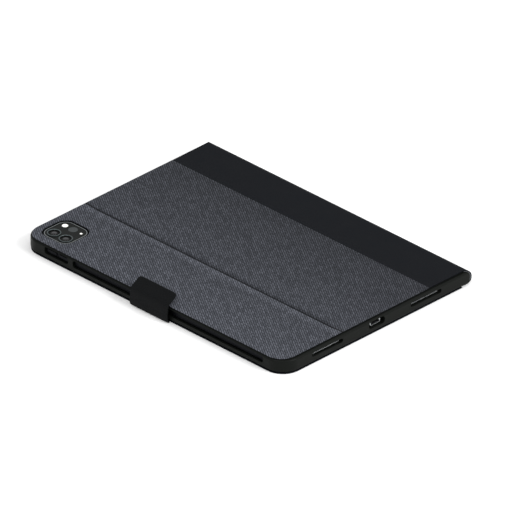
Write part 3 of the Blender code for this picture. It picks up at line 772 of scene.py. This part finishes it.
RIM_WIDTH = 25.4
RIM_CORNER = 7.2
INSIDE_WIDTH = 24.4
INSIDE_CORNER = 6.7
GLASS_WIDTH = 24.36
ISLAND_STEPS = 14
base_z = island_low.z
rim_outer = centred(CAMERA_X, CAMERA_Y, RIM_WIDTH, RIM_WIDTH, RIM_CORNER, ISLAND_STEPS)
rim_inner = centred(CAMERA_X, CAMERA_Y, INSIDE_WIDTH, INSIDE_WIDTH, INSIDE_CORNER, ISLAND_STEPS)
rim = slab("camera_rim_polished", rim_outer, base_z, island_high.z, polished_rim)
combine(rim, "DIFFERENCE", slab("rim_inside", rim_inner, base_z - 1, 20))
soften(rim)
fit(rim, "tablet_half", "bright_metal", "camera_rim")
plate_outline = centred(CAMERA_X, CAMERA_Y, GLASS_WIDTH, GLASS_WIDTH, INSIDE_CORNER, ISLAND_STEPS)
plate = slab("camera_island_glass", plate_outline, base_z, island_high.z - 0.25, island_glass)
soften(plate, 0.1, 2, 60)
fit(plate, "tablet_half", "dark_glass", "camera_glass")

for node in ("lens_wide", "lens_ultra_wide"):
    low, high = (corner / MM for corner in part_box(node))
    x, y = (low.x + high.x) / 2, (low.y + high.y) / 2
    outer = (high.x - low.x) / 2
    top = high.z
    ring_profile = [
        (outer, base_z + 0.3), (outer, top - 0.25), (outer - 0.1, top - 0.07), (outer - 0.3, top),
        (outer - 0.75, top), (outer - 0.9, top - 0.1), (outer - 1.0, top - 0.3),
        (outer - 1.0, base_z + 0.3), (outer, base_z + 0.3),
    ]
    ring = turned_piece(f"{node}_ring", x, y, ring_profile, lens_ring)
    fit(ring, "tablet_half", "bright_metal", node)
    barrel_profile = [(outer - 1.05, top - 0.35)]
    for step in range(4):
        radius = outer - 1.3 - 0.55 * step
        barrel_profile += [(radius, top - 0.4 - 0.12 * step), (radius, top - 0.52 - 0.12 * step)]
    barrel_profile += [(0, top - 0.95), (0, base_z + 0.35), (outer - 1.05, base_z + 0.35)]
    barrel_profile += [(outer - 1.05, top - 0.35)]
    barrel = turned_piece(f"{node}_barrel", x, y, barrel_profile, lens_barrel)
    fit(barrel, "tablet_half", "dark_glass")
    dome_radius = 2.1
    dome = [
        (dome_radius * math.cos(t), top - 0.72 + 0.45 * math.sin(t))
        for t in [QUARTER * step / 8 for step in range(8)]
    ]
    dome_profile = [(0, top - 0.9), (dome_radius, top - 0.9)] + dome + [(0, top - 0.27)]
    lens = turned_piece(f"{node}_front_element", x, y, dome_profile, lens_glass)
    fit(lens, "tablet_half", "dark_glass", node + "_glass")

for node, finish, slot in (
    ("flash", diffuser, "light_lens"), ("depth_sensor", sensor_window, "dark_glass"),
    ("microphone", diffuser, "light_lens"),
):
    low, high = (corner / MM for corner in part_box(node))
    x, y = (low.x + high.x) / 2, (low.y + high.y) / 2
    radius = (high.x - low.x) / 2
    top = island_high.z - 0.15
    profile = [
        (0, base_z + 0.2), (radius, base_z + 0.2), (radius, top - 0.06), (radius - 0.08, top),
        (radius - 0.2, top), (radius - 0.3, top - 0.05), (0, top + 0.03),
    ]
    piece = turned_piece(f"{node}_window", x, y, profile, finish)
    fit(piece, "tablet_half", slot, node)


# ---------------------------------------------------------------- keyboard deck
# A thin ABS tray and frame, with a fine spark-eroded texture, hold rubber-dome keys over
# a switch film. Behind the keys a shallow groove with magnets holds the tablet's edge.
deck_plastic = shell_plastic_material("textured_abs_deck", "2b2c30", 0.55)
for node in ("keyboard_base", "keyboard_frame"):
    refinish(node, deck_plastic)
film = shell_plastic_material("satin_switch_film", "9a9fa3", 0.35)
circuit = shell_plastic_material("green_solder_mask", "1c4a33", 0.5)
pouch = anodised_material("battery_pouch", "b9bcbf", 0.35)
magnet_plate = anodised_material("nickel_plate", "a5a7aa", 0.3)
switch_plastic = shell_plastic_material("switch_knob", "17181a", 0.45)
INNER_FINISHES = {
    "key_membrane": film, "circuit_board": circuit, "radio_module": magnet_plate,
    "battery": pouch, "groove_magnet_1": magnet_plate, "groove_magnet_2": magnet_plate,
    "groove_magnet_3": magnet_plate, "wake_magnet": magnet_plate, "status_light": diffuser,
    "power_switch": switch_plastic,
}
for node, finish in INNER_FINISHES.items():
    refinish(node, finish)


# ---------------------------------------------------------------- keys
# Each key is a flat matt ABS cap with a shallow dish and rounded edges, pressed by a
# finger through the frame; a web under the frame ties the caps of one group together.
key_plastic = shell_plastic_material("matt_black_keycap", "0b0b0d", 0.5)
KEY_UNIT = 16.8
KEY_PITCH = 16.2
KEY_GAP = 2.0
FUNCTION_DEPTH = 9.0
HALF_ROW = 7
CAP_CORNER = 1.2
KEY_ROWS = (
    [("key_row_left", w) for w in (1, 1, 1, 1.25)] + [("space_bar", 4.5)]
    + [("key_row_right", w) for w in (1.25, 1)] + [("arrow_keys", 1)] * 3,
    [("shift_left", 2)] + [("key_row_lower", 1)] * 10 + [("shift_right", 2)],
    [("caps_key", 1.5)] + [("key_row_home", 1)] * 11 + [("return_key", 1.5)],
    [("tab_key", 1.25)] + [("key_row_upper", 1)] * 12 + [("slash_key", 0.75)],
    [("key_row_number", 1)] * 13 + [("delete_key", 1)],
    [("key_row_function", 1)] * 14,
)
first_low, first_high = (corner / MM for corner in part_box("space_bar"))
first_row_y = (first_low.y + first_high.y) / 2
caps = {}
for row, groups in enumerate(KEY_ROWS):
    depth = KEY_PITCH - KEY_GAP
    centre_y = first_row_y + row * KEY_PITCH
    if row == 5:
        centre_y = first_row_y + 4 * KEY_PITCH + depth / 2 + KEY_GAP + FUNCTION_DEPTH / 2
        depth = FUNCTION_DEPTH
    left = -HALF_ROW * KEY_UNIT
    for group, width in groups:
        x0 = left + KEY_GAP / 2
        x1 = left + width * KEY_UNIT - KEY_GAP / 2
        caps.setdefault(group, []).append((x0, centre_y - depth / 2, x1, centre_y + depth / 2))
        left += width * KEY_UNIT
CAP_LEVELS = ((0.0, 2.3), (0.0, 3.25), (0.12, 3.42), (0.35, 3.5), (1.0, 3.5), (3.2, 3.36))
for group, boxes in caps.items():
    solid = bmesh.new()
    for x0, y0, x1, y1 in boxes:
        rings = []
        for inset, height in CAP_LEVELS:
            corner = max(CAP_CORNER - inset * 0.5, 0.5)
            outline = rounded(x0 + inset, y0 + inset, x1 - inset, y1 - inset, corner, 4)
            rings.append([solid.verts.new(Vector((u, v, height)) * MM) for u, v in outline])
        count = len(rings[0])
        solid.faces.new(rings[0][::-1])
        solid.faces.new(rings[-1])
        for below, above in zip(rings, rings[1:]):
            for side in range(count):
                after = (side + 1) % count
                solid.faces.new((below[side], below[after], above[after], above[side]))
    mesh = bpy.data.meshes.new(group)
    solid.to_mesh(mesh)
    solid.free()
    keys = new_piece(f"{group}_caps", mesh, key_plastic)
    soften(keys)
    fit(keys, group, "key_plastic", group)


# Legends, pad-printed in light grey in the dish of each cap.
legend_ink = shell_plastic_material("matt_legend_ink", "a9adb0", 0.6)
LEGENDS = {
    "key_row_number": "` 1 2 3 4 5 6 7 8 9 0 - =", "delete_key": "delete",
    "tab_key": "tab", "key_row_upper": "Q W E R T Y U I O P [ ]", "slash_key": "\\",
    "caps_key": "caps", "key_row_home": "A S D F G H J K L ; '", "return_key": "return",
    "shift_left": "shift", "key_row_lower": "Z X C V B N M , . /", "shift_right": "shift",
    "key_row_left": "fn ctrl opt alt", "key_row_right": "alt opt", "arrow_keys": "< ^ >",
    "key_row_function": "esc F1 F2 F3 F4 F5 F6 F7 F8 F9 F10 F11 F12 lock",
}
DISH_Z = 3.37
for group, words in LEGENDS.items():
    prints = bmesh.new()
    for (x0, y0, x1, y1), word in zip(caps[group], words.split()):
        text = bpy.data.curves.new("legend", "FONT")
        text.body = word
        text.size = (4.6 if len(word) == 1 else 2.6) * MM
        text.align_x = "CENTER"
        text.align_y = "CENTER"
        text.extrude = 0.015 * MM
        text.resolution_u = 2
        letter = bpy.data.objects.new("legend", text)
        bpy.context.scene.collection.objects.link(letter)
        depsgraph = bpy.context.evaluated_depsgraph_get()
        mesh = bpy.data.meshes.new_from_object(letter.evaluated_get(depsgraph))
        mesh.transform(Matrix.Translation(Vector(((x0 + x1) / 2, (y0 + y1) / 2, DISH_Z)) * MM))
        prints.from_mesh(mesh)
        bpy.data.objects.remove(letter, do_unlink=True)
    mesh = bpy.data.meshes.new(f"{group}_legends")
    prints.to_mesh(mesh)
    prints.free()
    fit(new_piece(f"{group}_legends", mesh, legend_ink), group, "key_plastic")


# ---------------------------------------------------------------- strap
# A doubled strap of the same leather is sewn to the front cover's edge. It stands over
# the long side, and its tip lifts clear of the cloth.
side_low, side_high = (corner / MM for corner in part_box("strap_side"))
flap_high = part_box("strap_flap")[1] / MM
STRAP_THICK = 1.4
TIP_RADIUS = 2.8
STRAP_HALF = (side_high.x - side_low.x) / 2
strap_leather = leather_material("strap_leather", "0a0b0c", 0.6)
SIDE_Y = side_low.y
STRAP_ROUTE = (
    (SIDE_Y + 2.5, 0.05), (SIDE_Y + 1.1, 0.35), (SIDE_Y + 0.25, 1.6), (SIDE_Y + 0.03, 3.4),
    (SIDE_Y + 0.1, 6.0), (SIDE_Y + 0.3, 9.0), (SIDE_Y + 0.7, 12.0), (SIDE_Y + 1.7, 14.3),
    (SIDE_Y + 3.6, 15.9), (flap_high.y - 3.9, flap_high.z - 3.05),
    (flap_high.y - 0.95, flap_high.z - 0.75),
)


def smooth_route(points, steps):
    """A Catmull-Rom curve through the points."""
    points = [Vector(p) for p in points]
    points = [2 * points[0] - points[1]] + points + [2 * points[-1] - points[-2]]
    curve = []
    for a, b, c, d in zip(points, points[1:], points[2:], points[3:]):
        for step in range(steps):
            t = step / steps
            curve.append(0.5 * (
                2 * b + (c - a) * t + (2 * a - 5 * b + 4 * c - d) * t * t
                + (3 * b - a - 3 * c + d) * t ** 3
            ))
    curve.append(points[-2])
    return curve


def strap_part(name, route, rounded_tip):
    """A run of the strap: a padded strip whose outer face follows the route."""
    reach = [0.0]
    for before, after in zip(route, route[1:]):
        reach.append(reach[-1] + (after - before).length)
    across = [-1 + 2 * i / 12 for i in range(13)]
    solid = bmesh.new()
    grids = []
    for inner in (False, True):
        rows = []
        for index, point in enumerate(route):
            before = route[max(index - 1, 0)]
            after = route[min(index + 1, len(route) - 1)]
            along = (after - before).normalized()
            half = STRAP_HALF
            left = reach[-1] - reach[index]
            if rounded_tip and left < TIP_RADIUS:
                half -= TIP_RADIUS - math.sqrt(TIP_RADIUS ** 2 - (TIP_RADIUS - left) ** 2)
            offset = Vector((along.y, -along.x)) * (STRAP_THICK if inner else 0)
            row = []
            for u in across:
                edge = 0.22 * abs(u) ** 10 * (1 if not inner else -1)
                place = point + offset + Vector((along.y, -along.x)) * edge
                row.append(solid.verts.new(Vector((u * half, place.x, place.y)) * MM))
            rows.append(row)
        grids.append(rows)
    outer, inner = grids
    for rows in grids:
        for near, next_row in zip(rows, rows[1:]):
            for k in range(len(across) - 1):
                solid.faces.new((near[k], near[k + 1], next_row[k + 1], next_row[k]))
    last = len(across) - 1
    for i in range(len(route) - 1):
        for k in (0, last):
            solid.faces.new((outer[i][k], outer[i + 1][k], inner[i + 1][k], inner[i][k]))
    for k in range(last):
        for i in (0, len(route) - 1):
            solid.faces.new((outer[i][k], outer[i][k + 1], inner[i][k + 1], inner[i][k]))
    piece = new_piece(name, outward_mesh(name, solid), strap_leather)
    soften(piece, 0.18, 3, 50)
    return piece


STEPS = 6
strap_route = smooth_route(STRAP_ROUTE, STEPS)
split = 4 * STEPS
tip = strap_route[split:]
end_run = tip[-STEPS:]
fine_tip = []
for before, after in zip(end_run, end_run[1:]):
    fine_tip += [before + (after - before) * step / 4 for step in range(4)]
tip = tip[:-STEPS] + fine_tip + [end_run[-1]]
strap_root = strap_part("strap_over_side", strap_route[:split + 1], False)
strap_tip = strap_part("strap_tip", tip, True)
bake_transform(strap_root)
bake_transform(strap_tip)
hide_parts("strap_side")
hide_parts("strap_flap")


# ---------------------------------------------------------------- floor, light and camera
# A white table in even white surroundings, under a large soft light from the right and a
# small weak one in front of the strap, seen through a very long lens.
floor_material = surface("white_table", "f7f7f7", 0.9, Specular_IOR_Level=0.0)
floor_place = add(floor_material, "TexCoord").outputs["Object"]
floor_grain = add(floor_material, "TexNoise", {"Vector": floor_place, "Scale": 40.0})
floor_bump = add(floor_material, "Bump", {"Height": floor_grain.outputs["Fac"], "Distance": 0.00002})
drive(floor_material, "Normal", floor_bump.outputs["Normal"])
TABLE_HALF = 4000
table_outline = rounded(-TABLE_HALF, -TABLE_HALF, TABLE_HALF, TABLE_HALF, 0)
floor = slab("floor", table_outline, -10, -0.02, floor_material)
floor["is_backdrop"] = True

WORLD_STRENGTH = 0.86
world = bpy.data.worlds.new("studio")
world.use_nodes = True
world.node_tree.nodes["Background"].inputs["Color"].default_value = (1, 1, 1, 1)
world.node_tree.nodes["Background"].inputs["Strength"].default_value = WORLD_STRENGTH
bpy.context.scene.world = world


def soft_light(name, place, size, power):
    """A square soft light, in metres and watts, that looks at the case."""
    light = bpy.data.lights.new(name, "AREA")
    light.size = size
    light.energy = power
    obj = bpy.data.objects.new(name, light)
    obj.location = place
    obj.rotation_euler = (-Vector(place)).to_track_quat("-Z", "Y").to_euler()
    bpy.context.scene.collection.objects.link(obj)


soft_light("key_light", (2.0, 0.5, 1.5), size=1.1, power=42)
soft_light("front_light", (0.2, -0.75, 0.9), size=0.5, power=4)

LENS_MM = 1500
SENSOR_MM = 36
VIEW_WIDTH = 0.3517
TARGET_RIGHT = 5.93
TARGET_DOWN = 3.24
azimuth, elevation = math.radians(45), math.radians(30)
back = Vector((
    math.sin(azimuth) * math.cos(elevation), -math.cos(azimuth) * math.cos(elevation),
    math.sin(elevation),
))
right = Vector((math.cos(azimuth), math.sin(azimuth), 0))
up = back.cross(right)
target = Vector((0, 0, CASE_TOP * MM)) + right * TARGET_RIGHT * MM - up * TARGET_DOWN * MM
camera = bpy.data.objects.new("camera", bpy.data.cameras.new("camera"))
camera.data.lens = LENS_MM
camera.data.sensor_width = SENSOR_MM
camera.location = target + back * VIEW_WIDTH * LENS_MM / SENSOR_MM
camera.rotation_euler = back.to_track_quat("Z", "Y").to_euler()
camera.data.clip_start = 1
camera.data.clip_end = 60
bpy.context.scene.collection.objects.link(camera)
bpy.context.scene.camera = camera
bpy.context.scene.view_settings.view_transform = "Standard"

low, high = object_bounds()
